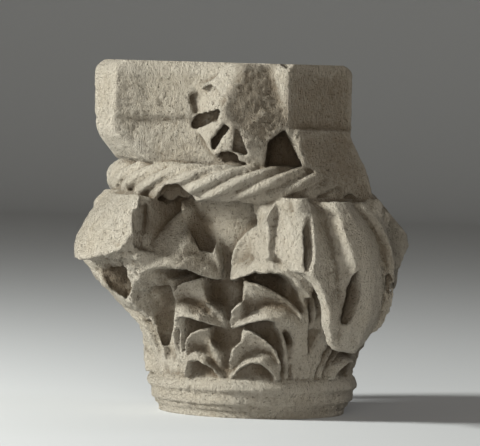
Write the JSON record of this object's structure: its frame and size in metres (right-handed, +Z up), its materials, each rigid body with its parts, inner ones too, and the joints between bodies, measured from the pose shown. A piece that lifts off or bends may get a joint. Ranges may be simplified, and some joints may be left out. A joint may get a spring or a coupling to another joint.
{
  "type": "corinthian capital",
  "caption": "Small weathered limestone corinthian capital: acanthus leaves with curled heads over a round foot ring, a rope moulding and a broken hollow-sided slab.",
  "frame": {"origin": "centre of the round flat underside, where the capital rests on its column shaft", "axes": "+Z up along the column's axis, -Y out of the carved front face between two leaves, +X to the right as one looks at that face"},
  "size_m": [0.3418, 0.3366, 0.348],
  "materials": {
    "limestone": "rough, pitted and weathered"
  },
  "bodies": {
    "root": {"capital": "limestone"}
  },
  "joints": []
}
